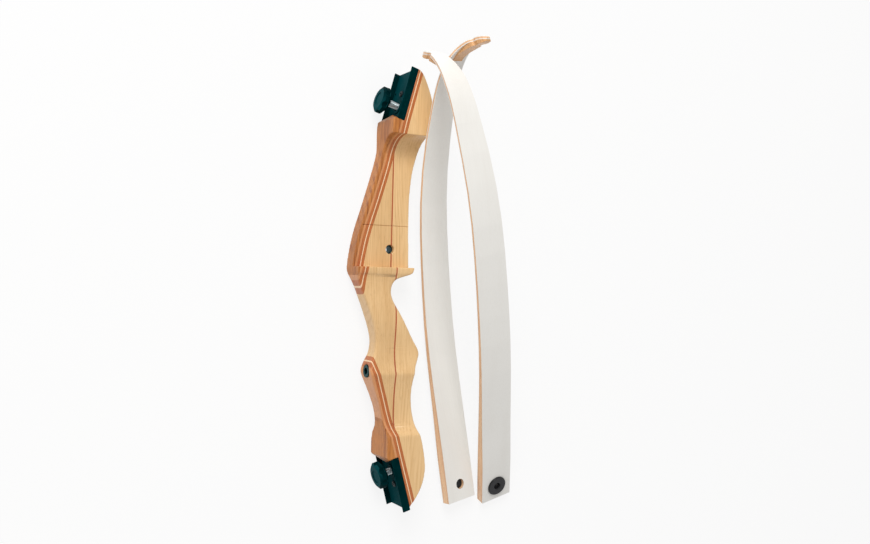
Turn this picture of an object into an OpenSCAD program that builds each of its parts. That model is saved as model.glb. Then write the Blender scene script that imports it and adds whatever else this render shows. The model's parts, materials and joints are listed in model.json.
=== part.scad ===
// Takedown recurve bow: a laminated wooden riser lying on its side with its
// two loose limbs beside it, millimetres, Z up, everything standing on Z = 0.

/* [Riser] */
// Thickness of the riser from side to side
riser_w = 46; // [40:1:52]
// Slant of the two limb pads against the riser's length, degrees
pad_lean = 15.5; // [10:0.5:20]
// Length of each limb pad
pad_len = 65; // [55:1:75]
// Height of the sight window floor above the riser's middle plane
window_z = -4; // [-8:0.5:0]
// Radius of the cove that closes the window at its top
window_cove = 26; // [18:1:30]
// Thickness of the dark veneer down the middle of the blocks
veneer_t = 1.8; // [1:0.1:3]
// Width of the light strip in the curved band
light_t = 1.2; // [0.8:0.1:2]
// Width of each dark strip beside the light one
dark_t = 3.5; // [2:0.1:5]
// Width of the tan strip behind the band
tan_t = 2.5; // [1.5:0.1:4]

/* [Limb pockets] */
// Thickness of the pocket floor
pocket_floor = 2.5; // [2:0.1:4]
// Height of the pocket walls above the wood
pocket_h = 9; // [7:0.5:12]
// Thickness of the pocket walls
pocket_wall = 1.6; // [1.2:0.1:2.5]

/* [Limb bolts] */
// Distance of the bolt from the closed end of the pocket
bolt_y = 20; // [16:0.5:24]
// Outside diameter of the bolt thread
bolt_d = 8; // [6:0.1:10]
// Radial running clearance round the bolt
bolt_gap = 0.06; // [0.02:0.01:0.1]
// Underside of the upper knob above the wood, as it stands
upper_stand = 19.5; // [14:0.5:24]
// Underside of the lower knob above the wood, as it stands
lower_stand = 14; // [12:0.5:24]
// Bolt length below the knob
bolt_len = 29.5; // [25:0.5:32]
// Diameter over the knob's lobes
knob_d = 32; // [28:0.5:36]
// Height of the knob
knob_h = 10; // [8:0.5:13]
// Number of hollows round the knob
knob_hollows = 7; // [5:1:9]

/* [Bushings] */
// Thread diameter of the stabiliser bushing
stab_d = 7.94; // [6:0.01:10]
// Outside diameter of the plunger bushing
plunger_od = 10.5; // [9:0.1:12]
// Bore of the plunger bushing
plunger_d = 7.94; // [6:0.01:9]

/* [Limbs] */
// Length of each limb along its curve
limb_len = 605; // [560:1:640]
// Width of each limb at the butt
limb_w = 42; // [38:0.5:42]
// Thickness of each glass face
glass_t = 0.8; // [0.6:0.1:1]
// Distance of the limb hole from the butt end
hole_y = 20; // [16:0.5:24]
// Diameter of the limb hole
hole_d = 12.4; // [11:0.1:14]
// Bore of the limb bushing
bush_bore = 8.6; // [8.2:0.1:9.5]
// Diameter of the bushing flange
flange_d = 25.5; // [20:0.5:27]

/* [Layout] */
// Turn of the right limb on the floor, degrees
right_yaw = 15.261; // [10:0.001:20]
// Rise of the right limb, degrees
right_pitch = 21.881; // [15:0.001:25]
// Turn of the left limb on the floor, degrees
left_yaw = 9.064; // [5:0.001:12]
// Rise of the left limb, degrees
left_pitch = -1.6; // [-5:0.01:0]

/* [Hidden] */
$fn = 64;
half = riser_w / 2;
sx = 4.43;                     // puts the whole set's middle on the origin
sy = 15.46;
riser_at = [sx - 70.5, sy, half];
upper_pad = [-0.6, 173.8];
lower_pad = [2.5, -216.4];
split_y = -30;                 // parts the strips where the outline cuts them
pitch_mm = 1.25;               // thread pitch of the limb bolts

// Smooth curve through a list of points
function cr(a, b, c, d, t) = 0.5 * (2 * b + (c - a) * t
  + (2 * a - 5 * b + 4 * c - d) * t * t + (3 * b - a - 3 * c + d) * t * t * t);
function smooth(p, n) = let (m = len(p)) concat(
  [for (i = [0 : m - 2], j = [0 : n - 1])
    cr(p[max(i - 1, 0)], p[i], p[i + 1], p[min(i + 2, m - 1)], j / n)],
  [p[m - 1]]);
function rev(p) = [for (i = [len(p) - 1 : -1 : 0]) p[i]];
function unit(v) = v / norm(v);
// Curve moved sideways, belly side positive
function aside(p, o) = let (m = len(p)) [for (i = [0 : m - 1])
  let (d = unit(p[min(i + 1, m - 1)] - p[max(i - 1, 0)])) p[i] + o * [-d[1], d[0]]];

// Riser outline, seen from the window side, y along the riser
belly_top = smooth([[16.1, 237.9], [24.5, 230], [34.4, 207.2], [37.6, 190],
  [35.5, 167], [31.6, 141], [25.6, 117], [22.4, 85], [22.4, 50], [23.8, 5]], 4);
belly_low = smooth([[23.8, 5], [21.8, -2.6], [15.5, -6], [7, -8.8], [0.4, -12],
  [-3.9, -19], [-4.6, -28], [-1.5, -37], [8.4, -53], [22.4, -77.2], [31.2, -91],
  [33.3, -98.6], [30.7, -106.5], [26.8, -117], [23.9, -134], [23.3, -152],
  [27.1, -176.1], [34.4, -204], [38.4, -229], [36, -248], [28.5, -264],
  [19.2, -275.8]], 3);
back = smooth([[-13.3, 181], [-14.6, 162], [-14.3, 143], [-19, 121], [-31, 80],
  [-43.2, 40], [-49, 6], [-47.9, -9], [-42, -24.3], [-29.7, -57], [-24.1, -79],
  [-25, -96], [-29.9, -108], [-31.4, -118], [-27.9, -130.1], [-16.7, -160],
  [-11.4, -188], [-11.6, -205], [-11.3, -218.4]], 4);
// Run of the light strip from the upper pad to the lower pad
band = smooth([[22, 244], [9.6, 199], [-0.4, 160], [-5.4, 130], [-18.7, 84],
  [-33, 38], [-41.8, -8], [-44.5, -40], [-41, -74], [-30, -104], [-14.8, -146],
  [-4, -183], [6.6, -220], [15.4, -250], [24.5, -281]], 4);
inner_o = light_t / 2 + dark_t;
tan_o = inner_o + tan_t;

module riser_outline() {
  polygon(concat(belly_top, [for (i = [1 : len(belly_low) - 1]) belly_low[i]],
    [[5, -225], [-9.5, -230]], rev(back), [[-10.2, 191], [3.5, 189]]));
}
module band_zone(a, b) {
  polygon(concat(aside(band, a), rev(aside(band, b))));
}
module belly_zone() {
  polygon(concat(aside(band, inner_o), [[90, -281], [90, 244]]));
}
module back_zone() {
  polygon(concat(aside(band, -tan_o), [[-90, -281], [-90, 244]]));
}
module upper_half() { translate([-100, split_y]) square([200, 300]); }
module lower_half() { translate([-100, split_y - 300]) square([200, 300]); }
// Below the grip the tan strip comes out to the surface, down to this height
tan_out_y = -155;
tan_low = let (a = aside(band, -tan_o), b = aside(band, -tan_o - 10))
  [for (i = [0 : len(band) - 1]) band[i][1] > tan_out_y ? b[i] : a[i]];
module off_pads() { translate([-100, -228]) square([200, 416]); }

// Places things on a pad: y away from the grip, x into the wood, z across
module on_upper() { translate(upper_pad) rotate([0, 0, -pad_lean]) children(); }
module on_lower() {
  translate(lower_pad) mirror([0, 1, 0]) rotate([0, 0, -pad_lean]) children();
}
module on_riser() { translate(riser_at) children(); }
vee = 8.5;                     // how far the wooden shoulder points outward
vee_shape = [[-0.02, -half - 1], [vee, 0], [-0.02, half + 1], [90, half + 1],
  [90, -half - 1]];
module across(len) { rotate([90, 0, 90]) linear_extrude(len) children(); }

// Height of the near face below the shelf, y against z
near_low = concat(
  smooth([[3.5, 13], [-3.4, 12.6], [-8, 10.8], [-22, 10.6], [-58, 14],
    [-90, 11.4], [-108, 12.8], [-121, 17]], 4),
  smooth([[-121, 17], [-136, 14], [-156, 12.2], [-172, 12.2], [-183, 15],
    [-192, 23]], 3));
module near_low_cut() {
  translate([-60, 0, 0]) across(120)
    polygon(concat(near_low, [[-192, 40], [3.5, 40]]));
}
module far_low_cut() {
  translate([-60, 0, 0]) across(120) polygon(concat(
    [for (p = smooth([[3, 23], [-4, 21], [-20, 16], [-58, 14], [-90, 11.4],
      [-108, 12.8], [-121, 17], [-136, 14], [-156, 12.2], [-172, 12.2],
      [-183, 15], [-192, 23]], 3)) [p[0], -p[1] * half / 23]],
    [[-192, -40], [3, -40]]));
}
module window_cut() {
  translate([-60, 3.5, window_z]) cube([120, 129.5, 60]);
  translate([-60, 133, window_z + window_cove]) rotate([0, 90, 0])
    cylinder(r = window_cove, h = 120, $fn = 96);
}
plunger_at = [-1.7, 24.7];
stab_at = [-31.2, -118.2];
spot_t = 1.5;
insert_od = 12;
insert_len = 21;
screw_y = 36.5;                // pocket screw, one in each pocket
screw_d = 4;

module wood() {
  difference() {
    intersection() {
      translate([0, 0, -half]) linear_extrude(riser_w) children();
      translate([0, 0, -half]) linear_extrude(riser_w) riser_outline();
    }
    window_cut();
    near_low_cut();
    far_low_cut();
    on_upper() pad_cuts();
    on_lower() pad_cuts();
    translate([plunger_at[0], plunger_at[1], -half - 1])
      cylinder(d = plunger_od, h = riser_w + 2);
    translate([stab_at[0] - 12, stab_at[1], 0]) rotate([0, 90, 0])
      cylinder(d = 16, h = 12 + spot_t);
    translate([stab_at[0] - 1, stab_at[1], 0]) rotate([0, 90, 0])
      cylinder(d = 12, h = 24);
  }
}
module pad_cuts() {
  translate([-40, 0, 0]) across(40) polygon(vee_shape);
  translate([0, 0, -half - 1]) linear_extrude(riser_w + 2)
    polygon([[-14.6, -3.4], [-7, vee], [-7, 40], [-40, 40], [-40, -3.4]]);
  translate([-1, bolt_y, 0]) rotate([0, 90, 0])
    cylinder(d = insert_od, h = insert_len + 1);
  translate([-1, screw_y, 0]) rotate([0, 90, 0]) cylinder(d = screw_d, h = 13);
}

module riser_middle_block() color("#d8ad78") on_riser() wood() intersection() {
  belly_zone();
  translate([-100, -290]) square([100 - veneer_t / 2, 560]);
}
module upper_belly_block() color("#e8c490") on_riser() wood() intersection() {
  belly_zone(); translate([veneer_t / 2, split_y]) square([100, 300]);
}
module lower_belly_block() color("#e6c08c") on_riser() wood() intersection() {
  belly_zone(); translate([veneer_t / 2, split_y - 300]) square([100, 300]);
}
module upper_centre_veneer() color("#7a3f22") on_riser() wood() intersection() {
  belly_zone(); translate([-veneer_t / 2, split_y]) square([veneer_t, 300]);
}
module lower_centre_veneer() color("#7a3f22") on_riser() wood() intersection() {
  belly_zone(); translate([-veneer_t / 2, split_y - 300]) square([veneer_t, 300]);
}
module upper_inner_dark_strip() color("#8c4a28") on_riser() wood()
  intersection() { band_zone(light_t / 2, inner_o); upper_half(); }
module lower_inner_dark_strip() color("#8c4a28") on_riser() wood()
  intersection() { band_zone(light_t / 2, inner_o); lower_half(); }
module upper_light_strip() color("#f0d9ae") on_riser() wood()
  intersection() { band_zone(-light_t / 2, light_t / 2); upper_half(); }
module lower_light_strip() color("#f0d9ae") on_riser() wood()
  intersection() { band_zone(-light_t / 2, light_t / 2); lower_half(); }
module upper_outer_dark_strip() color("#a05a30") on_riser() wood()
  intersection() { band_zone(-inner_o, -light_t / 2); upper_half(); }
module lower_outer_dark_strip() color("#a05a30") on_riser() wood()
  intersection() { band_zone(-inner_o, -light_t / 2); lower_half(); }
module upper_tan_strip() color("#e2c08a") on_riser() wood()
  intersection() { band_zone(-tan_o, -inner_o); upper_half(); off_pads(); }
module lower_tan_strip() color("#e2c08a") on_riser() wood()
  intersection() {
    polygon(concat(aside(band, -inner_o), rev(tan_low)));
    lower_half(); off_pads();
  }
module upper_back_block() color("#b8743f") on_riser() wood()
  intersection() { back_zone(); upper_half(); off_pads(); }
module lower_back_block() color("#b8743f") on_riser() wood()
  intersection() {
    polygon(concat(tan_low, [[-90, -281], [-90, 244]]));
    lower_half(); off_pads();
  }

// Channel the limb butt lies in, open at its outer end
module pocket() {
  difference() {
    union() {
      translate([-pocket_floor, 0, -half]) cube([pocket_floor, pad_len, riser_w]);
      for (s = [-1, 1]) translate([-pocket_h, 0, s > 0 ? half - pocket_wall : -half])
        cube([pocket_h, pad_len, pocket_wall]);
      translate([-pocket_floor - 1.5, bolt_y, 0]) rotate([0, 90, 0])
        cylinder(d = 17, h = 1.6);
    }
    translate([-20, 0, 0]) across(40)
      polygon([[-1, -half - 1], [0, -half - 1], [vee, 0], [0, half + 1],
        [-1, half + 1]]);
    translate([-10, bolt_y, 0]) rotate([0, 90, 0]) cylinder(d = bolt_d + 2, h = 20);
    translate([-10, screw_y, 0]) rotate([0, 90, 0]) cylinder(d = screw_d, h = 20);
    translate([-10, screw_y + 3, -half + 4.5]) rotate([0, 90, 0]) cylinder(d = 3, h = 20);
    for (s = [-1, 1]) translate([-pocket_h, pad_len, s * half]) rotate([90, 0, 0])
      rotate([0, 0, 45]) cube([1, 1, 3 * pad_len], center = true);
  }
}
module pocket_screw() {
  translate([-pocket_floor, screw_y, 0]) difference() {
    union() {
      rotate([0, 90, 0]) cylinder(d = screw_d, h = 14);
      translate([-1.1, 0, 0]) rotate([0, 90, 0]) cylinder(d = 7.4, h = 1.1);
      translate([-1.9, 0, 0]) rotate([0, 90, 0]) cylinder(d1 = 5.4, d2 = 7.4, h = 0.8);
    }
    translate([-3, 0, 0]) rotate([0, 90, 0]) cylinder(d = 2.9, h = 2.6, $fn = 6);
  }
}
module bolt_insert() {
  difference() {
    translate([0, bolt_y, 0]) rotate([0, 90, 0]) cylinder(d = insert_od, h = insert_len);
    translate([-1, bolt_y, 0]) rotate([0, 90, 0])
      cylinder(d = bolt_d + 2 * bolt_gap, h = insert_len);
  }
}
// Bolt, knob and washer are drawn with the knob's underside at "stand"
hex_af = 12;
hex_h = 5;
module limb_bolt(stand) {
  translate([-stand, bolt_y, 0]) rotate([0, 90, 0]) {
    cylinder(d = bolt_d, h = bolt_len - 0.8);
    translate([0, 0, bolt_len - 0.8]) cylinder(d1 = bolt_d, d2 = bolt_d - 1.6, h = 0.8);
    translate([0, 0, -hex_h]) cylinder(d = hex_af / cos(30), h = hex_h, $fn = 6);
  }
}
module knob(stand) {
  translate([-stand, bolt_y, 0]) rotate([0, -90, 0]) difference() {
    union() {
      cylinder(d = 25, h = 3);
      translate([0, 0, 2.6]) cylinder(d = knob_d, h = knob_h - 2.6 - 2.6);
      translate([0, 0, knob_h - 2.6]) cylinder(d1 = knob_d, d2 = knob_d - 7, h = 2.6);
    }
    for (i = [0 : knob_hollows - 1]) rotate([0, 0, 20 + i * 360 / knob_hollows])
      translate([knob_d / 2 + 3, 0, 2.61]) cylinder(r = 5, h = knob_h);
    translate([0, 0, -1]) cylinder(d = hex_af / cos(30), h = hex_h + 1, $fn = 6);
    translate([0, 0, knob_h - 0.8]) cylinder(d = 15, h = 2);
  }
}
washer_t = 1.6;
washer_gap = 0.1;
module bolt_washer(stand) {
  translate([-stand + washer_gap, bolt_y, 0]) rotate([0, 90, 0]) difference() {
    cylinder(d = 20, h = washer_t);
    translate([0, 0, -1]) cylinder(d = bolt_d + 2 * bolt_gap, h = washer_t + 2);
  }
}

module upper_limb_pocket() color("#0a3a3e") on_riser() on_upper() pocket();
module lower_limb_pocket() color("#0a3a3e") on_riser() on_lower() pocket();
module upper_pocket_screw() color("#1c1c1e") on_riser() on_upper() pocket_screw();
module lower_pocket_screw() color("#1c1c1e") on_riser() on_lower() pocket_screw();
module upper_bolt_insert() color("#b08d4a") on_riser() on_upper() bolt_insert();
module lower_bolt_insert() color("#b08d4a") on_riser() on_lower() bolt_insert();
module upper_limb_bolt() color("#b9bec2") on_riser() on_upper() limb_bolt(upper_stand);
module lower_limb_bolt() color("#b9bec2") on_riser() on_lower() limb_bolt(lower_stand);
module upper_knob() color("#0d4246") on_riser() on_upper() knob(upper_stand);
module lower_knob() color("#0d4246") on_riser() on_lower() knob(lower_stand);
module upper_bolt_washer() color("#07282b") on_riser() on_upper() bolt_washer(upper_stand);
module lower_bolt_washer() color("#07282b") on_riser() on_lower() bolt_washer(lower_stand);

plunger_sink = 5;
module plunger_bushing() color("#26231f") on_riser()
  translate([plunger_at[0], plunger_at[1], -half + 1]) difference() {
    cylinder(d = plunger_od, h = half + window_z - plunger_sink - 1);
    translate([0, 0, -1]) cylinder(d = plunger_d, h = 30);
  }
module stabiliser_bushing() color("#8f949a") on_riser()
  translate([stab_at[0], stab_at[1], 0]) rotate([0, 90, 0]) difference() {
    union() {
      cylinder(d = 12, h = 23);
      cylinder(d = 15, h = spot_t);
    }
    translate([0, 0, -1]) cylinder(d = stab_d, h = 21);
  }

// Limb: bend per millimetre along its length, in radians per metre
bend = [[0, 0], [0.18, 0], [0.35, 1.35], [0.5, 0.14], [0.65, 3.08], [0.8, 0.73],
  [0.9, 14.55], [1, 16.72]];
function stops(f) = [for (i = [0 : 1]) i * 0.09, for (i = [0 : 9]) 0.18 + i * 0.062,
  for (i = [0 : f]) 0.8 + i * 0.2 / f];
marks = stops(20);
function bend_at(u) = lookup(u, bend) * 0.001 * 180 / PI * limb_len;
// Each entry: distance along, y, z and slope of the middle line
function walk(i, y, z, a) = i >= len(marks) ? [] :
  let (u = marks[i], v = i + 1 < len(marks) ? marks[i + 1] : u,
    t = (bend_at(u) + bend_at(v)) / 2 * (v - u), m = a - t / 2, d = (v - u) * limb_len)
  concat([[u * limb_len, y, z, a]], walk(i + 1, y + d * cos(m), z + d * sin(m), a - t));
line = walk(0, 0, 0, 0);
// Thickness and the part of it behind the middle line
thick = [[0, 12], [75, 12], [115, 8.4], [200, 6], [300, 4.5], [450, 3.6], [700, 3.6]];
behind = [[0, 6], [75, 6], [110, 5.2], [200, 3.6], [300, 2.4], [450, 1.8], [700, 1.8]];
function t_at(s) = lookup(s, thick);
function b_at(s) = lookup(s, behind);
core_cap = 2.2;
function core_at(s) = min(core_cap, (t_at(s) - 2 * glass_t) / 2);
// Points at a height above the back face, for a run of the middle line
function lay(f, a, b) = [for (p = line) if (p[0] >= a && p[0] <= b)
  let (h = f(p[0]) - b_at(p[0])) [p[1] - h * sin(p[3]), p[2] + h * cos(p[3])]];

module strip(f, g, a = 0, b = 2000) {
  rotate([90, 0, 90]) translate([0, 0, -30]) linear_extrude(60)
    polygon(concat(lay(f, a, b), rev(lay(g, a, b))));
}
// Half width of the limb against the distance along it
half_w = concat(
  [for (p = smooth([[0, 1], [0.3, 1], [0.42, 0.985], [0.55, 0.95], [0.65, 0.9],
    [0.75, 0.83], [0.88, 0.66]], 2)) [p[0] * limb_len, p[1] * limb_w / 2]],
  [for (p = [[50, 11.2], [36, 9], [27, 7.6], [23.6, 6.3], [22, 4.2], [20, 3.7],
    [18, 4.2], [16.2, 5.6], [10, 5.4], [5, 4.4], [0, 2]]) [limb_len - p[0], p[1]]]);
// Place on the middle line for a distance along it
ys = [for (p = line) [p[0], p[1]]];
zs = [for (p = line) [p[0], p[2]]];
as = [for (p = line) [p[0], p[3]]];
fold = 0.8 * limb_len;
fold_a = lookup(fold, as);
tilt_b = -60;
function along(s, a) = lookup(s, ys) * cos(a) + lookup(s, zs) * sin(a);
function outline(a, lo, hi) = let (k = [for (h = half_w)
  if (h[0] >= lo && h[0] <= hi) [along(h[0], a), h[1]]],
  e = concat([[along(lo, a), lookup(lo, half_w)]], k,
    [[along(hi, a), lookup(hi, half_w)]]))
  concat(e, [for (i = [len(e) - 1 : -1 : 0]) [e[i][0], -e[i][1]]]);
// The limb's width as two upright cutters, the second one tilted with the tip
module width_a() {
  intersection() {
    translate([0, 0, -300]) linear_extrude(600) mirror([1, -1, 0])
      polygon(outline(0, 0, fold + 20));
    translate([0, lookup(fold, ys), lookup(fold, zs)]) rotate([fold_a, 0, 0])
      translate([-50, -900, -300]) cube([100, 900, 600]);
  }
}
module width_b() {
  intersection() {
    rotate([tilt_b, 0, 0]) translate([0, 0, -700]) linear_extrude(1400)
      mirror([1, -1, 0]) polygon(outline(tilt_b, fold - 20, limb_len));
    translate([0, lookup(fold, ys), lookup(fold, zs)]) rotate([fold_a, 0, 0])
      translate([-50, 0, -300]) cube([100, 300, 600]);
  }
}
module shaped() {
  intersection() { children(); union() { width_a(); width_b(); } }
}
module hole() { translate([0, hole_y, -20]) cylinder(d = hole_d, h = 40); }

module back_glass() difference() {
  shaped() strip(function(s) 0, function(s) glass_t); hole(); }
module back_core() difference() {
  shaped() strip(function(s) glass_t, function(s) glass_t + core_at(s)); hole(); }
wedge_end = 0.31 * limb_len;
module butt_wedge() difference() {
  shaped() strip(function(s) glass_t + core_at(s),
    function(s) t_at(s) - glass_t - core_at(s), 0, wedge_end);
  hole(); }
module belly_core() difference() {
  shaped() strip(function(s) t_at(s) - glass_t - core_at(s),
    function(s) t_at(s) - glass_t); hole(); }
module belly_glass() difference() {
  shaped() strip(function(s) t_at(s) - glass_t, function(s) t_at(s)); hole(); }
overlay_h = [[0, 2.2], [5, 4.2], [14, 5], [24, 5.4], [34, 5], [46, 2.6], [57, 0.4]];
module tip_overlay() {
  intersection() {
    shaped() strip(function(s) -lookup(limb_len - s, overlay_h), function(s) 0,
      limb_len - 61, limb_len);
    rotate([tilt_b, 0, 0]) translate([-7, -900, -700]) cube([14, 1800, 1400]);
  }
}
barrel_len = 8;
flange_t = 2.5;
module limb_bushing() {
  translate([0, hole_y, t_at(0) - b_at(0)]) difference() {
    union() {
      translate([0, 0, -barrel_len]) cylinder(d = hole_d, h = barrel_len + 0.1);
      cylinder(d = flange_d, h = flange_t - 0.7);
      translate([0, 0, flange_t - 0.7]) cylinder(d1 = flange_d, d2 = flange_d - 1.4, h = 0.7);
    }
    translate([0, 0, -barrel_len - 1]) cylinder(d = bush_bore, h = barrel_len + 5);
    translate([0, 0, flange_t - 0.8]) cylinder(d1 = bush_bore, d2 = bush_bore + 3, h = 1);
  }
}

// Height that sets a tilted limb's lowest edge on the floor
right_roll = -0.19;
left_roll = 10.2;
function low(p, r, flip) = min([for (q = line, w = [-1, 1], h = [0, 1])
  let (e = w * lookup(q[0], half_w), g = h * t_at(q[0]) - b_at(q[0]),
    y = q[1] - g * sin(q[3]), z = flip * (q[2] + g * cos(q[3])))
  sin(p) * y + cos(p) * (cos(r) * z - sin(r) * e)]);
right_at = [90.129 + sx, -283.208 + sy, -low(right_pitch, right_roll, 1)];
left_at = [35.979 + sx, -281.766 + sy, -low(left_pitch, left_roll, -1)];
module on_right() {
  translate(right_at) rotate([0, 0, right_yaw]) rotate([right_pitch, 0, 0])
    rotate([0, right_roll, 0]) children();
}
module on_left() {
  translate(left_at) rotate([0, 0, left_yaw]) rotate([left_pitch, 0, 0])
    rotate([0, left_roll + 180, 0]) children();
}
module right_back_glass() color("#e9e5dc") on_right() back_glass();
module right_back_core() color("#e6bc96") on_right() back_core();
module right_butt_wedge() color("#efcaa5") on_right() butt_wedge();
module right_belly_core() color("#d9a87c") on_right() belly_core();
module right_belly_glass() color("#f2efe8") on_right() belly_glass();
module right_tip_overlay() color("#b98a58") on_right() tip_overlay();
module right_limb_bushing() color("#151517") on_right() limb_bushing();
module left_back_glass() color("#e9e5dc") on_left() back_glass();
module left_back_core() color("#e6bc96") on_left() back_core();
module left_butt_wedge() color("#efcaa5") on_left() butt_wedge();
module left_belly_core() color("#d9a87c") on_left() belly_core();
module left_belly_glass() color("#f2efe8") on_left() belly_glass();
module left_tip_overlay() color("#b98a58") on_left() tip_overlay();
module left_limb_bushing() color("#151517") on_left() limb_bushing();

riser_middle_block();
upper_belly_block();
lower_belly_block();
upper_centre_veneer();
lower_centre_veneer();
upper_inner_dark_strip();
upper_light_strip();
upper_outer_dark_strip();
upper_tan_strip();
upper_back_block();
lower_inner_dark_strip();
lower_light_strip();
lower_outer_dark_strip();
lower_tan_strip();
lower_back_block();
upper_limb_pocket();
lower_limb_pocket();
upper_pocket_screw();
lower_pocket_screw();
upper_bolt_insert();
lower_bolt_insert();
upper_limb_bolt();
upper_knob();
upper_bolt_washer();
lower_limb_bolt();
lower_knob();
lower_bolt_washer();
plunger_bushing();
stabiliser_bushing();
right_back_glass();
right_back_core();
right_butt_wedge();
right_belly_core();
right_belly_glass();
right_tip_overlay();
right_limb_bushing();
left_back_glass();
left_back_core();
left_butt_wedge();
left_belly_core();
left_belly_glass();
left_tip_overlay();
left_limb_bushing();
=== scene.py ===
# %% [markdown]
# # A takedown recurve bow, laid out on a table
# The bow lies taken apart: a laminated wooden riser on its side and two loose
# limbs beside it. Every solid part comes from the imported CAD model, so this
# script never decides where a piece goes. It only gives the pieces their
# finish: sanded edges, wood grain, moulded plastic, thread and lamp light.

# %% The frame
import json
import bpy
import bmesh
from math import pi, radians
from mathutils import Matrix, Vector
from mathutils.bvhtree import BVHTree


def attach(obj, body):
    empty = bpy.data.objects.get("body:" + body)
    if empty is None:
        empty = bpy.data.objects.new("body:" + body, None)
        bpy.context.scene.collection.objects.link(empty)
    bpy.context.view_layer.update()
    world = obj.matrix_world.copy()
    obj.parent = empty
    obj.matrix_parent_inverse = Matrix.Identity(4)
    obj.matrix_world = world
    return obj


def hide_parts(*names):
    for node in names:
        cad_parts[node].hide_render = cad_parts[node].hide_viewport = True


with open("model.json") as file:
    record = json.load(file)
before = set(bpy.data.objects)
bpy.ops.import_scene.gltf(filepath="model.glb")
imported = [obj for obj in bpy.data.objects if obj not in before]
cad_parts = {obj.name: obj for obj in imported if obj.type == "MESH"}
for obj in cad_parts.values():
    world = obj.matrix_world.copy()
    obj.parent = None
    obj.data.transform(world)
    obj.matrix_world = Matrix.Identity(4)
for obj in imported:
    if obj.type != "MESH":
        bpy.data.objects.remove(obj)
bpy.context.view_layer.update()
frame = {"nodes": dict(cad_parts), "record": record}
MM = 0.001
record = frame["record"]
slot_of = {part["node"]: part["material_slot"] for part in record["subparts"]}
body_of = {node: body for body, nodes in record["behaviour"]["bodies"].items()
           for node in nodes}

# %% [markdown]
# ## Camera
# The set is seen from above and from the side away from the archer, with the
# length of the bow upright in the picture. A camera can be placed by angles,
# but three axes are easier to read here: one runs up the picture, one runs
# from the set to the lens, and the third follows from those two.

# %% Camera
AIM = Vector((0.00443, 0.01546, 0.0))
TO_LENS = Vector((-0.48462, -0.01354, 0.87462))
UP_PICTURE = Vector((-0.02792, 0.99961, 0.0))
LENS_DISTANCE = 1.14
SENSOR_WIDTH_MM = 36.0
FOCAL_LENGTH_MM = 38.007

def placed(name, data):
    """A new object in the scene that holds a camera, a lamp or a mesh."""
    made = bpy.data.objects.new(name, data)
    bpy.context.scene.collection.objects.link(made)
    return made

lens_data = bpy.data.cameras.new("camera")
lens_data.sensor_width = SENSOR_WIDTH_MM
lens_data.lens = FOCAL_LENGTH_MM
camera = placed("camera", lens_data)
across_picture = UP_PICTURE.cross(TO_LENS)
turn = Matrix((across_picture, UP_PICTURE, TO_LENS)).transposed().to_4x4()
camera.matrix_world = Matrix.Translation(AIM + LENS_DISTANCE * TO_LENS) @ turn
bpy.context.scene.camera = camera
bpy.context.scene.view_settings.view_transform = "Standard"
print("camera stands", [round(v, 3) for v in camera.location])

# %% [markdown]
# ## Light
# A product photograph like this has no hard shadow: a wide lamp hangs beyond
# the upper end of the bow, so faces turned towards the lower end go darker, and
# a weaker one fills the other side.

# %% Lamps
def lamp(name, at, size, watts, colour):
    """A wide square lamp that faces the middle of the set."""
    data = bpy.data.lights.new(name, "AREA")
    data.shape, data.size, data.energy, data.color = "SQUARE", size, watts, colour
    aim = (AIM - Vector(at)).to_track_quat("-Z", "Y").to_matrix().to_4x4()
    placed(name, data).matrix_world = Matrix.Translation(Vector(at)) @ aim
    print(name, "gives", watts, "W from", at)

lamp("key_lamp", at=(-0.9, 1.75, 1.85), size=1.3, watts=44.5, colour=(1.0, 0.985, 0.965))
lamp("fill_lamp", at=(-1.7, -0.9, 1.5), size=1.8, watts=3.5, colour=(0.98, 0.99, 1.0))

# %% [markdown]
# ### White all round
# The white of the background isn't made with more light, which would wash out
# the pale wood. The world is bright for camera, mirror and glass rays only.
# The bow itself is lit by a weaker room.

# %% World
# A strength of 1 shows as white
WHITE_STRENGTH = 1.0
ROOM_STRENGTH = 0.5

def seen_directly(nodes, links):
    """1 for camera, mirror and glass rays, which may look at bright paper."""
    path = nodes.new("ShaderNodeLightPath")
    first = nodes.new("ShaderNodeMath")
    second = nodes.new("ShaderNodeMath")
    first.operation = second.operation = "MAXIMUM"
    links.new(path.outputs["Is Camera Ray"], first.inputs[0])
    links.new(path.outputs["Is Glossy Ray"], first.inputs[1])
    links.new(first.outputs[0], second.inputs[0])
    links.new(path.outputs["Is Transmission Ray"], second.inputs[1])
    return second.outputs[0]

world = bpy.data.worlds.new("studio")
bpy.context.scene.world = world
world.use_nodes = True
wn, wl = world.node_tree.nodes, world.node_tree.links
wn.clear()
room, white = wn.new("ShaderNodeBackground"), wn.new("ShaderNodeBackground")
for light, strength in ((room, ROOM_STRENGTH), (white, WHITE_STRENGTH)):
    light.inputs["Color"].default_value = (1, 1, 1, 1)
    light.inputs["Strength"].default_value = strength
shown, sky = wn.new("ShaderNodeMixShader"), wn.new("ShaderNodeOutputWorld")
wl.new(seen_directly(wn, wl), shown.inputs[0])
wl.new(room.outputs[0], shown.inputs[1])
wl.new(white.outputs[0], shown.inputs[2])
wl.new(shown.outputs[0], sky.inputs["Surface"])
print("world has", len(wn), "nodes")

# %% [markdown]
# ### Paper table
# Lit paper alone would come out grey here, and paper that only glows would
# lose the soft shadow under the bow. So the two are mixed: most of the
# brightness that the camera sees is the paper's own, and the rest is a matt
# surface that still takes the shadow.

# %% Table
PAPER_GREY = 0.9
OWN_LIGHT = 0.84
TABLE_REACH = 8.0

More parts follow.
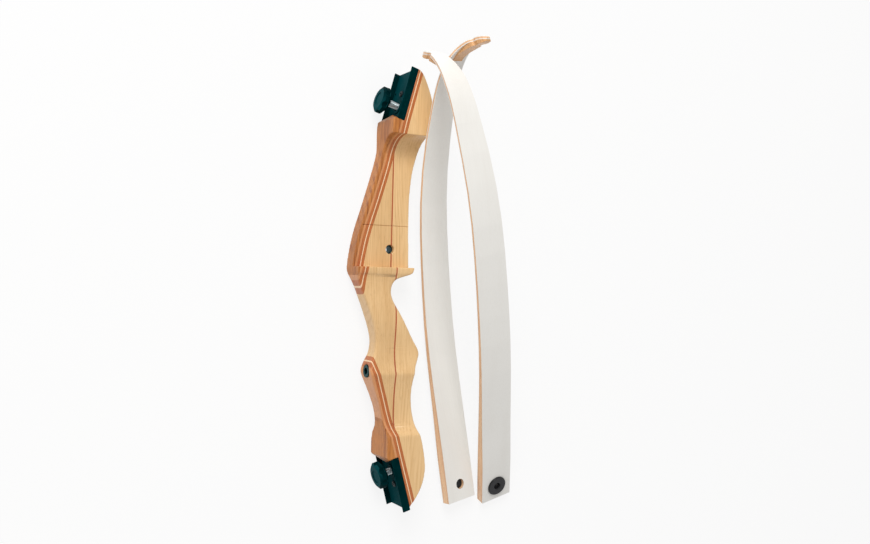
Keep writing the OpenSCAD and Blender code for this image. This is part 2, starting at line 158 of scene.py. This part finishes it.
def table_material():
    """White paper that still shows a soft shadow."""
    made = bpy.data.materials.new("white_paper")
    made.use_nodes = True
    nodes, links = made.node_tree.nodes, made.node_tree.links
    nodes.clear()
    matt, glow = nodes.new("ShaderNodeBsdfDiffuse"), nodes.new("ShaderNodeEmission")
    matt.inputs["Color"].default_value = (PAPER_GREY, PAPER_GREY, PAPER_GREY, 1)
    glow.inputs["Strength"].default_value = WHITE_STRENGTH
    share, blend = nodes.new("ShaderNodeMath"), nodes.new("ShaderNodeMixShader")
    share.operation = "MULTIPLY"
    share.inputs[1].default_value = OWN_LIGHT
    links.new(seen_directly(nodes, links), share.inputs[0])
    links.new(share.outputs[0], blend.inputs[0])
    links.new(matt.outputs[0], blend.inputs[1])
    links.new(glow.outputs[0], blend.inputs[2])
    surface = nodes.new("ShaderNodeOutputMaterial")
    links.new(blend.outputs[0], surface.inputs["Surface"])
    return made

bm = bmesh.new()
bmesh.ops.create_grid(bm, x_segments=1, y_segments=1, size=TABLE_REACH)
table_mesh = bpy.data.meshes.new("table")
bm.to_mesh(table_mesh)
bm.free()
table = placed("table", table_mesh)
table_mesh.materials.append(table_material())
print("table ends at x =", max(v.co.x for v in table_mesh.vertices), "m")

# %% [markdown]
# ## Node groups
# Wood, plastic, metal and the limbs' white faces each need one effect several
# times with other values. Each effect is a group with named sockets. A group
# only gives colours, masks and heights; the shader stays in each material. All
# four groups give the same three results, so one small class builds them.

# %% Group helper
COLOUR, NUMBER, VECTOR = "NodeSocketColor", "NodeSocketFloat", "NodeSocketVector"

class Effect:
    """A node group for one surface effect, with short calls for the nodes in it."""

    def __init__(self, name, colours=(), numbers=()):
        self.tree = bpy.data.node_groups.new(name, "ShaderNodeTree")
        self.nodes, self.links = self.tree.nodes, self.tree.links
        self.sockets("INPUT", ["Vector"], VECTOR)
        self.sockets("INPUT", colours, COLOUR)
        self.sockets("INPUT", numbers, NUMBER)
        self.sockets("OUTPUT", ["Color"], COLOUR)
        self.sockets("OUTPUT", ["Roughness", "Height"], NUMBER)
        self.start = self.nodes.new("NodeGroupInput")
        self.end = self.nodes.new("NodeGroupOutput")

    def sockets(self, way, labels, kind):
        for label in labels:
            self.tree.interface.new_socket(label, in_out=way, socket_type=kind)

    def given(self, label):
        """What the material hands to the group under this name."""
        return self.start.outputs[label]

    def put(self, value, socket):
        """Links another node's result to a socket, or writes a plain value there."""
        if isinstance(value, bpy.types.NodeSocket):
            self.links.new(value, socket)
        else:
            socket.default_value = value

    def math(self, operation, a, b=0.0, clamp=False):
        node = self.nodes.new("ShaderNodeMath")
        node.operation, node.use_clamp = operation, clamp
        self.put(a, node.inputs[0])
        self.put(b, node.inputs[1])
        return node.outputs[0]

    def plus(self, a, b, clamp=False):
        return self.math("ADD", a, b, clamp)

    def times(self, a, b):
        return self.math("MULTIPLY", a, b)

    def scaled(self, vector, by):
        node = self.nodes.new("ShaderNodeVectorMath")
        node.operation = "MULTIPLY"
        self.put(vector, node.inputs[0])
        self.put(by, node.inputs[1])
        return node.outputs[0]

    def stretched(self, vector, cells):
        """Vector for a long pattern, from its cells per metre across and along y."""
        across, along = cells
        return self.scaled(vector, (across, along, across))

    def noise(self, vector, scale=1.0, detail=2.0, rough=0.5):
        node = self.nodes.new("ShaderNodeTexNoise")
        self.put(vector, node.inputs["Vector"])
        self.put(scale, node.inputs["Scale"])
        node.inputs["Detail"].default_value = detail
        node.inputs["Roughness"].default_value = rough
        return node.outputs["Fac"]

    def ramp(self, value, low, high, to_low=0.0, to_high=1.0):
        """A soft step: to_low up to the low value, to_high from the high one on."""
        node = self.nodes.new("ShaderNodeMapRange")
        node.interpolation_type = "SMOOTHSTEP"
        self.put(value, node.inputs["Value"])
        for label, number in (("From Min", low), ("From Max", high),
                              ("To Min", to_low), ("To Max", to_high)):
            self.put(number, node.inputs[label])
        return node.outputs[0]

    def mix(self, share, a, b):
        node = self.nodes.new("ShaderNodeMix")
        node.data_type = "RGBA"
        self.put(share, node.inputs["Factor"])
        self.put(a, node.inputs[6])
        self.put(b, node.inputs[7])
        return node.outputs[2]

    def finished(self, colour, roughness, height):
        """Joins the three results to the group's outputs."""
        for label, value in (("Color", colour), ("Roughness", roughness), ("Height", height)):
            self.put(value, self.end.inputs[label])
        print(self.tree.name, "has", len(self.nodes), "nodes")
        return self.tree

# %% [markdown]
# ### Wood grain
# A board is a bundle of long fibres. Its colour changes in bands a few
# millimetres apart, the growth rings, and each band is broken up by short
# dark pores and pale flecks. All of it is stretched along the board. Because
# it is a solid pattern in three directions, it turns the corner of a block
# the way real grain does and shows as dots on the end of the board.

# %% Wood grain group
# Cells per metre of each pattern, across the fibres and along them
RING_WANDER = (14.0, 3.2)
RING_FADE = (90.0, 5.0)
FIBRES = (520.0, 16.0)
PORES = (1500.0, 70.0)
PATCHES = (34.0, 5.0)
# Sideways lean of the rings for each metre down, and their wander in metres
RING_LEAN = 0.22
RING_DRIFT = 0.034
# How much of the dark colour the rings and the fibres bring
RING_TONE, FIBRE_TONE = 0.5, 0.38

grain = Effect("wood_grain", colours=("Pale", "Dark", "Pore"),
               numbers=("Ring width", "Pore amount", "Band amount"))
board = grain.given("Vector")
# The growth rings: even steps across the board, bent by a slow wander
wander = grain.noise(grain.stretched(board, RING_WANDER))
rings_per_metre = grain.math("DIVIDE", 1000.0, grain.given("Ring width"))
split = grain.nodes.new("ShaderNodeSeparateXYZ")
grain.put(board, split.inputs[0])
place = grain.plus(split.outputs["X"], grain.times(split.outputs["Z"], RING_LEAN))
place = grain.plus(place, grain.times(wander, RING_DRIFT))
wave = grain.math("SINE", grain.times(grain.times(place, rings_per_metre), 2 * pi))
rings = grain.ramp(wave, -0.2, 1.0)
# A ring never runs evenly down a board: it fades out and comes back
fade = grain.ramp(grain.noise(grain.stretched(board, RING_FADE)), 0.4, 0.66)
rings = grain.times(rings, fade)
# Fibres and pores: the same noise, much longer than it is wide
fibre = grain.noise(grain.stretched(board, FIBRES), detail=3.0, rough=0.6)
pore = grain.ramp(grain.noise(grain.stretched(board, PORES), detail=1.0), 0.6, 0.76)
patch = grain.noise(grain.stretched(board, PATCHES), detail=3.0, rough=0.55)
bands = grain.times(rings, grain.given("Band amount"))
tone = grain.plus(grain.times(bands, RING_TONE),
                  grain.times(grain.ramp(fibre, 0.3, 0.72), FIBRE_TONE))
tone = grain.plus(tone, grain.ramp(patch, 0.35, 0.75, to_low=-0.12, to_high=0.3), clamp=True)
wood_colour = grain.mix(tone, grain.given("Pale"), grain.given("Dark"))
pores = grain.times(pore, grain.given("Pore amount"))
grain_group = grain.finished(
    colour=grain.mix(pores, wood_colour, grain.given("Pore")),
    roughness=grain.ramp(fibre, 0.25, 0.8, to_low=0.34, to_high=0.5),
    height=grain.math("SUBTRACT", grain.times(fibre, 0.5), pores))

# %% [markdown]
# ### Moulded plastic
# The limb pockets and knobs are moulded. The mould leaves a fine even texture,
# and the colour is a little cloudy where the melt flowed. Faces that look
# towards -x, the side of the camera and the key lamp, get a lighter colour:
# painted light and painted highlight on the pocket's floor, the rims of its
# walls and the knob's face, which come out lighter than the flanks.

# %% Moulded plastic group
# Faces turned this way get the painted light colour: they face the camera and the key lamp
LIT_SIDE = (-1.0, 0.0, 0.0)
CLOUDS_PER_METRE = 55.0
GRAINS_PER_METRE = 2600.0

moulded = Effect("moulded_skin_and_lit_face", colours=("Base", "Cloud", "Lit face"), numbers=("Dull",))
cloud = moulded.noise(moulded.given("Vector"), CLOUDS_PER_METRE, detail=3.0)
pebble = moulded.noise(moulded.given("Vector"), GRAINS_PER_METRE, rough=0.55)
facing_lit_side = moulded.nodes.new("ShaderNodeVectorMath")
facing_lit_side.operation = "DOT_PRODUCT"
way_out = moulded.nodes.new("ShaderNodeTexCoord").outputs["Normal"]
moulded.put(way_out, facing_lit_side.inputs[0])
moulded.put(LIT_SIDE, facing_lit_side.inputs[1])
# Painted light: the lighter colour's share rises as a face turns towards -x
lit_side_share = moulded.ramp(facing_lit_side.outputs["Value"], 0.72, 0.93)
flank = moulded.mix(moulded.ramp(cloud, 0.35, 0.7), moulded.given("Base"),
                    moulded.given("Cloud"))
moulded_and_lit_group = moulded.finished(
    colour=moulded.mix(lit_side_share, flank, moulded.given("Lit face")),
    roughness=moulded.plus(moulded.given("Dull"),
                           moulded.ramp(cloud, 0.3, 0.75, to_low=-0.05, to_high=0.08)),
    height=pebble)

# %% [markdown]
# ### White limb face
# A limb's faces are glass cloth in resin with white pigment. The glass runs
# along the limb, so the surface has very faint long streaks, and the resin
# is satin rather than glossy.

# %% Limb face group
# Cells per metre, across the limb and along it
GLASS_STREAKS = (900.0, 9.0)
SOFT_SHADES = (40.0, 6.0)

glass = Effect("glass_face", colours=("Base", "Shade"))
streak = glass.noise(glass.stretched(glass.given("Vector"), GLASS_STREAKS),
                     detail=3.0, rough=0.6)
soft = glass.noise(glass.stretched(glass.given("Vector"), SOFT_SHADES))
mark = glass.plus(glass.ramp(streak, 0.35, 0.8, to_high=0.5),
                  glass.ramp(soft, 0.4, 0.8, to_high=0.5))
glass_group = glass.finished(
    colour=glass.mix(mark, glass.given("Base"), glass.given("Shade")),
    roughness=glass.ramp(streak, 0.3, 0.8, to_low=0.36, to_high=0.46),
    height=streak)

# %% [markdown]
# ### Machined metal
# Turned and rolled metal has fine rings of tool marks and a few dull spots
# where hands and oil have been.

# %% Machined metal group
# Cells per metre along x, y and z: the marks lie close together along x, which
# is nearly the way that the limb bolts point
TOOL_MARKS = (4200.0, 500.0, 500.0)
STAINS_PER_METRE = 210.0
STAIN_DULLS = 0.22

machined = Effect("machined_metal", colours=("Base", "Stain"), numbers=("Polish",))
tool_marks = machined.noise(machined.scaled(machined.given("Vector"), TOOL_MARKS))
stain = machined.ramp(machined.noise(machined.given("Vector"), STAINS_PER_METRE,
                                     detail=3.0, rough=0.6), 0.48, 0.75)
machined_group = machined.finished(
    colour=machined.mix(stain, machined.given("Base"), machined.given("Stain")),
    roughness=machined.plus(machined.given("Polish"), machined.times(stain, STAIN_DULLS)),
    height=tool_marks)

# %% [markdown]
# ## Materials
# One material for each finish in the record. Colours are written as they look
# on screen and turned into the linear values that the shader needs.

# %% Material helper
def linear(red, green, blue):
    """A colour as seen on screen, 0 to 255, as the shader's linear RGBA."""
    def one(value):
        value /= 255
        return value / 12.92 if value <= 0.04045 else ((value + 0.055) / 1.055) ** 2.4
    return (one(red), one(green), one(blue), 1.0)

def finish(name, group, values, relief, turn=(0, 0, 0), **shader):
    """A material that feeds one group into a Principled shader.

    The relief is the bump's strength and its height in millimetres."""
    made = bpy.data.materials.new(name)
    made.use_nodes = True
    nodes, links = made.node_tree.nodes, made.node_tree.links
    face = nodes["Principled BSDF"]
    where, mapping = nodes.new("ShaderNodeTexCoord"), nodes.new("ShaderNodeMapping")
    mapping.inputs["Rotation"].default_value = turn
    links.new(where.outputs["Object"], mapping.inputs["Vector"])
    effect = nodes.new("ShaderNodeGroup")
    effect.node_tree = group
    links.new(mapping.outputs[0], effect.inputs["Vector"])
    for label, value in values.items():
        effect.inputs[label].default_value = value
    strength, height = relief
    bump = nodes.new("ShaderNodeBump")
    bump.inputs["Strength"].default_value = strength
    bump.inputs["Distance"].default_value = height * MM
    links.new(effect.outputs["Height"], bump.inputs["Height"])
    links.new(effect.outputs["Color"], face.inputs["Base Color"])
    links.new(effect.outputs["Roughness"], face.inputs["Roughness"])
    links.new(bump.outputs[0], face.inputs["Normal"])
    for label, value in shader.items():
        face.inputs[label.replace("_", " ")].default_value = value
    return made

# %% [markdown]
# ### Woods
# Every wood is the same grain with its own colours, ring width in millimetres
# and amounts of pores and bands. A thin lacquer is a clear coat. The grain
# runs along y, which is the riser's length. The limbs lie turned from it, so
# the grain of their woods is turned with them.

# %% Wood materials
# Turns a pattern's long way from y to the length of the limbs
ALONG_LIMB = (0, 0, radians(-12))

def wood(name, pale, dark, pore, ring, pores, band, lacquer=0.35, **more):
    """A lacquered board."""
    return finish(name, grain_group, {
        "Pale": linear(*pale), "Dark": linear(*dark), "Pore": linear(*pore),
        "Ring width": ring, "Pore amount": pores, "Band amount": band},
        (0.3, 0.06), Coat_Weight=lacquer, Coat_Roughness=0.16,
        Specular_IOR_Level=0.3, **more)

looks = {
    "pale_block_wood": wood("pale_block_wood", (238, 199, 145), (214, 170, 113),
                            (176, 132, 82), 3.4, 0.3, 0.8),
    "middle_block_wood": wood("middle_block_wood", (232, 192, 138), (208, 162, 104),
                              (168, 122, 72), 2.6, 0.4, 0.9),
    "veneer_wood": wood("veneer_wood", (186, 98, 52), (150, 70, 34), (100, 44, 20),
                        1.1, 0.5, 0.5),
    "dark_strip_wood": wood("dark_strip_wood", (198, 114, 56), (148, 74, 32), (96, 44, 18),
                            1.6, 0.6, 0.7, lacquer=0.25),
    "light_strip_wood": wood("light_strip_wood", (250, 216, 176), (236, 188, 142),
                             (206, 150, 104), 1.2, 0.2, 0.4),
    "tan_strip_wood": wood("tan_strip_wood", (218, 152, 98), (188, 118, 68),
                           (140, 80, 44), 1.6, 0.5, 0.6),
    "back_block_wood": wood("back_block_wood", (200, 130, 66), (126, 60, 22),
                            (92, 40, 16), 4.6, 0.6, 0.9, lacquer=0.06),
    "limb_core_wood": wood("limb_core_wood", (240, 196, 154), (220, 164, 118),
                           (180, 122, 78), 1.0, 0.35, 0.5, turn=ALONG_LIMB),
    "limb_wedge_wood": wood("limb_wedge_wood", (246, 208, 168), (232, 182, 138),
                            (192, 136, 92), 1.4, 0.3, 0.5, turn=ALONG_LIMB),
    "tip_wood": wood("tip_wood", (224, 172, 116), (198, 140, 86), (140, 88, 48),
                     1.3, 0.5, 0.7, turn=ALONG_LIMB),
}
print(len(looks), "woods")

# %% [markdown]
# ### Plastic, metal and white limb faces
# The teal plastic is almost black in its flanks. A normal mirror strength
# would turn it grey under the white room, so it is held far down and tinted.

# %% Plastic, metal and limb face materials
def plastic(name, base, cloud, dull, lit_face_colour, **more):
    """Moulded plastic, with a lighter colour painted as light on faces turned towards -x."""
    return finish(name, moulded_and_lit_group, {
        "Base": linear(*base), "Cloud": linear(*cloud), "Lit face": linear(*lit_face_colour),
        "Dull": dull}, (0.25, 0.05), **more)

def metal(name, base, stain, polish):
    """Turned metal with a few stains. Less polish is a smoother surface."""
    return finish(name, machined_group, {
        "Base": linear(*base), "Stain": linear(*stain), "Polish": polish},
        (0.2, 0.02), Metallic=1.0)

def limb_face(name, base, shade):
    """White glass laminate, its streaks turned to run along the limb."""
    return finish(name, glass_group, {"Base": linear(*base), "Shade": linear(*shade)},
                  (0.08, 0.02), turn=ALONG_LIMB, Coat_Weight=0.06, Coat_Roughness=0.4,
                  Specular_IOR_Level=0.25)

DULL_TEAL = {"Specular_IOR_Level": 0.015, "Specular_Tint": (0.1, 0.6, 0.62, 1.0)}

# Each plastic's last colour is painted light for faces turned towards -x; on the washer and
# the bushing it is only a little lighter
looks.update({
    "pocket_plastic": plastic("pocket_plastic", (0, 32, 34), (1, 40, 42), 0.5,
                              (4, 60, 65), **DULL_TEAL),
    "knob_plastic": plastic("knob_plastic", (0, 30, 32), (2, 40, 43), 0.46,
                            (12, 68, 73), **DULL_TEAL),
    "washer_plastic": plastic("washer_plastic", (0, 18, 20), (1, 26, 29), 0.5,
                              (0, 20, 22), **DULL_TEAL),
    "limb_bushing_black": plastic("limb_bushing_black", (16, 16, 18), (24, 24, 27), 0.34,
                                  (20, 20, 22), Specular_IOR_Level=0.3),
    "pocket_screw_metal": metal("pocket_screw_metal", (44, 52, 54), (24, 28, 30), 0.42),
    "insert_brass": metal("insert_brass", (206, 170, 98), (150, 112, 60), 0.3),
    "bolt_steel": metal("bolt_steel", (196, 206, 208), (140, 150, 154), 0.28),
    "plunger_metal": metal("plunger_metal", (28, 60, 64), (14, 34, 38), 0.4),
    "stabiliser_metal": metal("stabiliser_metal", (18, 66, 68), (8, 36, 40), 0.4),
    "limb_glass": limb_face("limb_glass", (242, 240, 235), (236, 233, 227)),
})
missing = sorted(set(slot_of.values()) - set(looks))
print(len(looks), "finishes; slots with none:", missing)

# %% [markdown]
# ### Finishes on the nodes
# Each node of the CAD model gets the finish that its slot in the record names.
# A piece that is remade further down takes the same finish again.

# %% Finishes on the CAD nodes
for node, solid in frame["nodes"].items():
    solid.data.materials.clear()
    solid.data.materials.append(looks[slot_of[node]])
print(len(frame["nodes"]), "nodes have their finish")

# %% [markdown]
# ## Finished pieces
# A CAD solid has razor edges, and the real parts don't: wood is sanded,
# plastic comes out of its mould with small radii, and steel has a thread.
# The CAD meshes aren't changed. Each finished piece starts from a merged copy
# and then stands for its node, on the same body and with the same finish.

# %% Copy and hand-over helpers
def merged_copy(node, flat=0.05, join=0.001):
    """A node's solid with its loose triangles joined into flat faces.

    Faces within flat degrees become one, and corners within join millimetres."""
    bm = bmesh.new()
    bm.from_mesh(frame["nodes"][node].data)
    bmesh.ops.remove_doubles(bm, verts=bm.verts, dist=join * MM)
    bmesh.ops.dissolve_degenerate(bm, edges=bm.edges, dist=join * MM)
    bmesh.ops.dissolve_limit(bm, angle_limit=radians(flat), verts=bm.verts, edges=bm.edges)
    return bm

def mesh_from(name, bm):
    """Writes a bmesh to a new mesh and lets the bmesh go."""
    mesh = bpy.data.meshes.new(name)
    bm.to_mesh(mesh)
    bm.free()
    return mesh

def applied(made):
    """The object's mesh with its modifiers worked in; the object goes."""
    graph = bpy.context.evaluated_depsgraph_get()
    mesh = bpy.data.meshes.new_from_object(made.evaluated_get(graph))
    old = made.data
    bpy.data.objects.remove(made)
    bpy.data.meshes.remove(old)
    return mesh

def combined(mesh, name, other, how):
    """One Boolean step: mesh with other cut away or kept in common."""
    made = placed(name, mesh)
    step = made.modifiers.new(how.lower(), "BOOLEAN")
    step.operation, step.solver, step.object = how, "MANIFOLD", other
    return applied(made)

def stands_for(node, mesh, sharp=35, even=True):
    """Hands a finished mesh over as the piece that stands for one node.

    Corners over so many degrees stay sharp, and the rest is shaded smooth."""
    mesh.materials.clear()
    mesh.materials.append(looks[slot_of[node]])
    mesh.shade_smooth()
    mesh.set_sharp_from_angle(angle=radians(sharp))
    piece = placed(node + "_finished", mesh)
    if even:
        # Large faces decide the shading; slivers beside them have no say
        shading = piece.modifiers.new("even_normals", "WEIGHTED_NORMAL")
        shading.mode, shading.weight, shading.keep_sharp = "FACE_AREA", 100, True
    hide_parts(node)
    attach(piece, body_of[node])

# %% [markdown]
# ### Sanded riser
# The riser is glued up from boards first and shaped afterwards, so one sanding
# pass runs over all of its woods. The same is done here: all wood nodes are
# fused into one skin of small faces, the skin is smoothed, most of all at the
# grip, and then each board is cut back to that skin. Glue lines stay exactly
# where the CAD has them, and no edge is rounded twice.

# %% Riser skin
# Where the riser's own zero lies on the table, in millimetres
RISER_X, RISER_Y, RISER_Z = -66.07, 15.46, 23.0
# Side of the skin's cells, and what sanding takes off, in millimetres
SKIN_CELL = 0.9
SANDED_BACK = 0.06
# Up the riser: where the strong sanding of the grip starts and how it fades
GRIP_TOP, TOP_FADE = -5.0, 9.0
GRIP_FOOT, FOOT_FADE = -112.0, 26.0
BELOW_GRIP = 0.24
POCKET_TOP, POCKET_FADE = -200.0, 12.0
# Each pass moves a corner by this share of the way to its neighbours' middle
PASS_SHARE = 0.5
PASSES_ALL_OVER, PASSES_AT_GRIP = 7, 110

def grip_share(y):
    """1 in the grip, fading to 0 at the shelf, and weak on the way to the pocket."""
    top = min(1.0, max(0.0, (GRIP_TOP - y) / TOP_FADE))
    bottom = min(1.0, max(BELOW_GRIP, (y - GRIP_FOOT) / FOOT_FADE))
    foot = min(1.0, max(0.0, (y - POCKET_TOP) / POCKET_FADE))
    return min(top, bottom) * foot

riser_woods = [node for node in slot_of if slot_of[node].endswith("_wood")
               and body_of[node] == "riser"]
bm = bmesh.new()
for node in riser_woods:
    bm.from_mesh(frame["nodes"][node].data)
skin = placed("riser_skin", mesh_from("riser_skin", bm))
cells = skin.modifiers.new("cells", "REMESH")
cells.mode, cells.voxel_size = "VOXEL", SKIN_CELL * MM
skin_mesh = applied(skin)

skin = placed("riser_skin", skin_mesh)
grip = skin.vertex_groups.new(name="grip")
for vertex in skin_mesh.vertices:
    share = grip_share(vertex.co.y / MM - RISER_Y)
    if share > 0.0:
        grip.add([vertex.index], share, "REPLACE")
all_over = skin.modifiers.new("sanding", "SMOOTH")
all_over.factor, all_over.iterations = PASS_SHARE, PASSES_ALL_OVER
at_grip = skin.modifiers.new("grip_sanding", "SMOOTH")
at_grip.factor, at_grip.iterations, at_grip.vertex_group = PASS_SHARE, PASSES_AT_GRIP, "grip"
back_off = skin.modifiers.new("sanded_back", "DISPLACE")
back_off.strength, back_off.mid_level = -SANDED_BACK * MM, 0.0
skin_mesh = applied(skin)
print(len(riser_woods), "boards under a skin of", len(skin_mesh.polygons), "faces")

# %% [markdown]
# ### Scribed line
# A fine line is scribed across the window floor, square to the riser. It
# crosses several boards, so it is cut into the skin once and each board gets
# its own stretch of it with the next step.

# %% Scribed line
# In riser millimetres; the cutter stands clear of the floor it cuts
LINE_Y, LINE_WIDTH, LINE_DEPTH = 52.6, 0.75, 0.7
LINE_ENDS = (-38.0, 24.0)
WINDOW_FLOOR = -4.0
CLEAR_ABOVE = 3.0

def bar(x_ends, y_ends, z_ends):
    """A plain block between three pairs of limits, riser millimetres."""
    bm = bmesh.new()
    bmesh.ops.create_cube(bm, size=1.0)
    size = [high - low for low, high in (x_ends, y_ends, z_ends)]
    middle = [(high + low) / 2 for low, high in (x_ends, y_ends, z_ends)]
    middle = Vector(middle) + Vector((RISER_X, RISER_Y, RISER_Z))
    bmesh.ops.scale(bm, vec=Vector(size) * MM, verts=bm.verts)
    bmesh.ops.translate(bm, vec=middle * MM, verts=bm.verts)
    return bm

scribe = placed("scribe", mesh_from("scribe", bar(
    LINE_ENDS, (LINE_Y - LINE_WIDTH / 2, LINE_Y + LINE_WIDTH / 2),
    (WINDOW_FLOOR - LINE_DEPTH, WINDOW_FLOOR + CLEAR_ABOVE))))
skin_mesh = combined(skin_mesh, "riser_skin", scribe, "DIFFERENCE")
bpy.data.objects.remove(scribe)
print("skin with the line has", len(skin_mesh.polygons), "faces")

# %% [markdown]
# ### Boards
# What a board and the sanded skin have in common is the finished board. Its
# flat glue faces are large and its sanded faces small, so the shading isn't
# weighted by size here.

# %% Boards cut back to the skin
skin = placed("riser_skin", skin_mesh)
total = 0
for node in riser_woods:
    bm = merged_copy(node)
    bmesh.ops.triangulate(bm, faces=bm.faces)
    board_mesh = combined(mesh_from(node, bm), node + "_copy", skin, "INTERSECT")
    total += len(board_mesh.polygons)
    stands_for(node, board_mesh, sharp=40, even=False)
bpy.data.objects.remove(skin)
print("boards have", total, "faces")

# %% [markdown]
# ### Moulded and turned parts
# Pockets, knobs, washers, bushings and screws keep their CAD form. A small
# round edge catches the light the way a moulded corner does. Only real corners
# get it: the flat steps of a turned rim meet at a few degrees and are skipped.

# %% Rounded corners
# A corner this near a neighbour, in millimetres, counts as touching it
TOUCHING = 0.06
CORNER_STEPS = 2
# Radius in millimetres for each kind of part, by the end of its name
corner_radius = {"limb_pocket": 0.35, "knob": 0.7, "bolt_washer": 0.25,
                 "pocket_screw": 0.3, "bushing": 0.25, "bolt_insert": 0.2}

def corner_edges(bm, least, avoid=()):
    """Outward and inward corners over some degrees that touch no neighbour."""
    found = []
    for edge in bm.edges:
        if len(edge.link_faces) != 2 or edge.calc_face_angle(0.0) < radians(least):
            continue
        middle = (edge.verts[0].co + edge.verts[1].co) / 2
        if any(tree.find_nearest(middle, TOUCHING * MM)[0] is not None for tree in avoid):
            continue
        found.append(edge)
    return found

def rounded(node, radius, least=28, avoid=(), flat=0.05, join=0.001):
    """A merged copy of a node with rounded corners, and how many there are."""
    bm = merged_copy(node, flat, join)
    edges = corner_edges(bm, least, avoid)
    bmesh.ops.bevel(bm, geom=edges, offset=radius * MM, offset_type="OFFSET",
                    segments=CORNER_STEPS, profile=0.5, affect="EDGES", material=-1,
                    clamp_overlap=True)
    return mesh_from(node + "_rounded", bm), len(edges)

for node in sorted(slot_of):
    kind = next((k for k in corner_radius if node.endswith(k)), None)
    if kind:
        mesh, count = rounded(node, corner_radius[kind])
        stands_for(node, mesh)
        print(node, "corners rounded:", count)

# %% [markdown]
# ### Cut thread
# The two limb bolts are steel studs with a coarse thread. A thread is a groove
# that climbs one pitch in each turn, so a small closed triangle is spun round
# the bolt's axis while it moves along it, and the spiral is cut out of the bolt.

# %% Threaded bolts
PITCH = 1.25
GROOVE_DEPTH = 0.66
# The cutter stands out of the bolt by this, so that the cut is clean
CUTTER_PROUD = 0.25
TURN_STEPS = 28
# Shares of the pitch: half the groove's mouth, and what the spiral is longer
# than the way from the bolt's inner end to its joint. It starts one whole pitch
# outside that end.
HALF_MOUTH = 0.44
SPIRAL_EXTRA = 0.4
# The bolt's radius is measured on this length of its inner end
END_LENGTH = 2
bolt_joint = {joint["child"]: joint for joint in record["behaviour"]["joints"]
              if joint["type"] == "hinge"}

def thread_cutter(foot, axis, length, outside, depth):
    """A closed spiral wedge round an axis, from its foot upwards."""
    bm = bmesh.new()
    side = axis.orthogonal().normalized()
    half_gap = PITCH * HALF_MOUTH * MM
    corners = [foot + side * (outside - depth),
               foot + side * (outside + CUTTER_PROUD * MM) + axis * half_gap,
               foot + side * (outside + CUTTER_PROUD * MM) - axis * half_gap]
    first = bm.faces.new([bm.verts.new(corner) for corner in corners])
    turns = length / (PITCH * MM)
    steps = int(turns * TURN_STEPS)
    bmesh.ops.spin(bm, geom=[first] + list(first.edges) + list(first.verts), cent=foot,
                   axis=axis, dvec=axis * (length / steps), angle=2 * pi * turns,
                   steps=steps, use_merge=False, use_duplicate=False)
    bmesh.ops.holes_fill(bm, edges=[e for e in bm.edges if e.is_boundary], sides=3)
    bmesh.ops.recalc_face_normals(bm, faces=bm.faces)
    return bm

for node in ("upper_limb_bolt", "lower_limb_bolt"):
    joint = bolt_joint[body_of[node]]
    axis, foot = Vector(joint["axis"]).normalized(), Vector(joint["pos_m"])
    bm = merged_copy(node)
    bmesh.ops.triangulate(bm, faces=bm.faces)
    inner_end = min((v.co - foot).dot(axis) for v in bm.verts)
    near_end = inner_end + END_LENGTH * MM
    shank = [v.co for v in bm.verts if (v.co - foot).dot(axis) < near_end]
    radius = max(((co - foot) - axis * (co - foot).dot(axis)).length for co in shank)
    start = foot + axis * (inner_end - PITCH * MM)
    cutter = placed("cutter", mesh_from("cutter", thread_cutter(
        start, axis, -inner_end + SPIRAL_EXTRA * PITCH * MM, radius, GROOVE_DEPTH * MM)))
    mesh = combined(mesh_from(node, bm), node + "_plain", cutter, "DIFFERENCE")
    bpy.data.objects.remove(cutter)
    stands_for(node, mesh, sharp=30)
    print(node, "radius", round(radius / MM, 2), "faces", len(mesh.polygons))

# %% [markdown]
# ### Limb layers
# Each limb is white glass on both faces with thin wood between. The sides are
# ground flat through all layers and only the outer corners of the glass are
# broken by hand, so the corners that touch the next layer stay sharp.

# %% Limb layers
# Each layer's corner radius in millimetres; the woods between stay square
layer_corner = {"back_glass": 0.3, "back_core": 0.0, "butt_wedge": 0.0,
                "belly_core": 0.0, "belly_glass": 0.3, "tip_overlay": 1.2}

for side in ("right", "left"):
    trees = {}
    for layer in layer_corner:
        bm = merged_copy(f"{side}_{layer}")
        trees[layer] = BVHTree.FromBMesh(bm)
        bm.free()
    for layer, radius in layer_corner.items():
        node = f"{side}_{layer}"
        near = [tree for other, tree in trees.items() if other != layer]
        mesh, count = rounded(node, radius, least=50, avoid=near, flat=0.01, join=0.06)
        stands_for(node, mesh, sharp=14)
        print(node, "corners found:", count)
